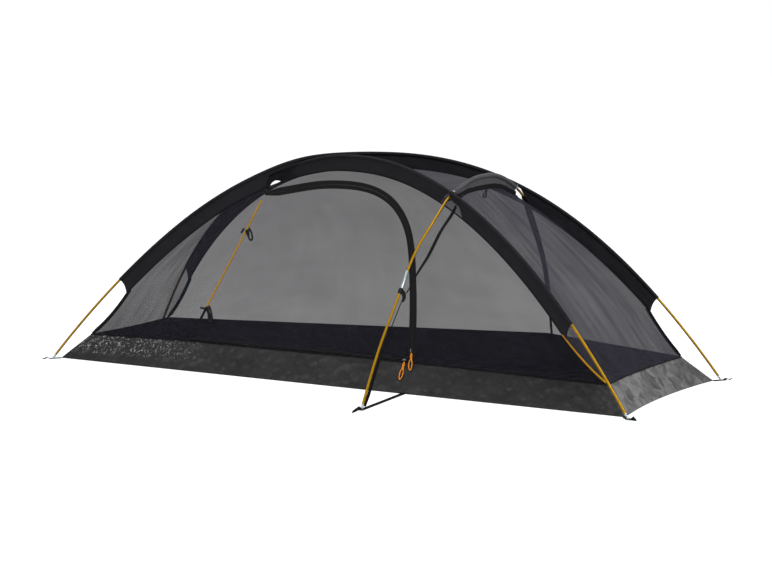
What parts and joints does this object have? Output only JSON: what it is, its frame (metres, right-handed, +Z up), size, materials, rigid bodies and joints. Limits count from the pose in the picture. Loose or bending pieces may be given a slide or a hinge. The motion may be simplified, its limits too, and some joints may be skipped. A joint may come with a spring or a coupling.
{
  "type": "one-person tent",
  "caption": "Low, long mesh inner tent for sleeping in, with crossed ridge poles, an awning pole across the head end, a bathtub floor and a D-shaped zipped side door.",
  "frame": {"origin": "middle of the groundsheet's underside, on the ground", "axes": "+X along the floor to the wider head end, +Y from the door side to the back wall, +Z up"},
  "size_m": [2.3028, 1.182, 0.7477],
  "materials": {
    "coated_fabric": "coated, slightly shiny",
    "mesh_fabric": "fine see-through netting",
    "roof_fabric": "matte woven",
    "hood_fabric": "matte woven",
    "sleeve_fabric": "matte woven",
    "black_webbing": "matte woven tape",
    "gold_cord": "braided",
    "orange_cord": "braided",
    "elastic_cord": "covered elastic",
    "gold_tube": "gold anodised",
    "bare_metal": "satin",
    "black_plastic": "moulded"
  },
  "bodies": {
    "tent": {"awning_ferrule_1": "bare_metal", "awning_ferrule_2": "bare_metal", "awning_ferrule_3": "bare_metal", "awning_ferrule_4": "bare_metal", "awning_ground_strap": "black_webbing", "awning_shock_cord": "elastic_cord", "awning_strap": "black_webbing", "awning_tip_front": "bare_metal", "awning_tip_rear": "bare_metal", "awning_tube": "gold_tube", "awning_web_rear": "black_webbing", "back_mesh": "mesh_fabric", "bathtub_floor": "coated_fabric", "corner_cord": "gold_cord", "corner_web_foot_back": "black_webbing", "corner_web_foot_front": "black_webbing", "corner_web_head_back": "black_webbing", "corner_web_head_front": "black_webbing", "foot_end_mesh": "mesh_fabric", "front_mesh": "mesh_fabric", "head_end_mesh": "mesh_fabric", "hinge_cord": "gold_cord", "hinge_tape": "black_webbing", "hood_band": "hood_fabric", "hoop_seam": "black_webbing", "pole_clip": "black_plastic", "pole_strap": "black_webbing", "rear_sleeve": "sleeve_fabric", "ridge_over_shock_cord": "elastic_cord", "ridge_over_sleeve": "sleeve_fabric", "ridge_over_tip_foot": "bare_metal", "ridge_over_tip_head": "bare_metal", "ridge_over_tube": "gold_tube", "ridge_seam_foot": "black_webbing", "ridge_seam_head": "black_webbing", "ridge_seam_long": "black_webbing", "ridge_under_shock_cord": "elastic_cord", "ridge_under_sleeve": "sleeve_fabric", "ridge_under_tip_foot": "bare_metal", "ridge_under_tip_head": "bare_metal", "ridge_under_tube": "gold_tube", "rim_binding": "black_webbing", "roof_panel": "roof_fabric", "zip_tape_frame": "black_webbing"},
    "door": {"door_mesh": "mesh_fabric", "zip_tape_door": "black_webbing", "tie_loop_upper": "elastic_cord", "tie_loop_lower": "elastic_cord"},
    "side_slider": {"slider_side": "bare_metal"},
    "sill_slider": {"slider_sill": "bare_metal"},
    "side_pull": {"pull_side": "orange_cord"},
    "sill_pull": {"pull_sill": "orange_cord"},
    "lamp_hook": {"lamp_hook": "black_plastic"},
    "upper_toggle": {"toggle_upper": "black_plastic"},
    "lower_toggle": {"toggle_lower": "black_plastic"}
  },
  "joints": [
    {"name": "door_swing", "type": "hinge", "parent": "tent", "child": "door", "pos_m": [-0.583, -0.25162, 0.093], "axis": [0.3179, 0.3633, 0.8757], "range_deg": [-90, 0]},
    {"name": "side_slider_run", "type": "slide", "parent": "door", "child": "side_slider", "axis": [-0.0528, 0.1581, 0.986], "range_m": [0, 0.15]},
    {"name": "sill_slider_run", "type": "slide", "parent": "door", "child": "sill_slider", "axis": [-0.9994, 0.0341, 0], "range_m": [0, 0.5]},
    {"name": "side_pull_lift", "type": "hinge", "parent": "side_slider", "child": "side_pull", "pos_m": [0.30757, -0.28038, 0.12247], "axis": [-1, 0, 0], "range_deg": [0, 60]},
    {"name": "sill_pull_lift", "type": "hinge", "parent": "sill_slider", "child": "sill_pull", "pos_m": [0.2836, -0.28542, 0.0922], "axis": [-1, 0, 0], "range_deg": [0, 60]},
    {"name": "lamp_hook_swing", "type": "hinge", "parent": "tent", "child": "lamp_hook", "pos_m": [0.44, 0, 0.64245], "axis": [1, 0, 0], "range_deg": [-40, 40]},
    {"name": "upper_toggle_lift", "type": "hinge", "parent": "tent", "child": "upper_toggle", "pos_m": [-0.45073, -0.0946, 0.47349], "axis": [0.3179, 0.3633, 0.8757], "range_deg": [0, 50]},
    {"name": "lower_toggle_lift", "type": "hinge", "parent": "tent", "child": "lower_toggle", "pos_m": [-0.54701, -0.2043, 0.20837], "axis": [0.3179, 0.3633, 0.8757], "range_deg": [0, 50]}
  ]
}
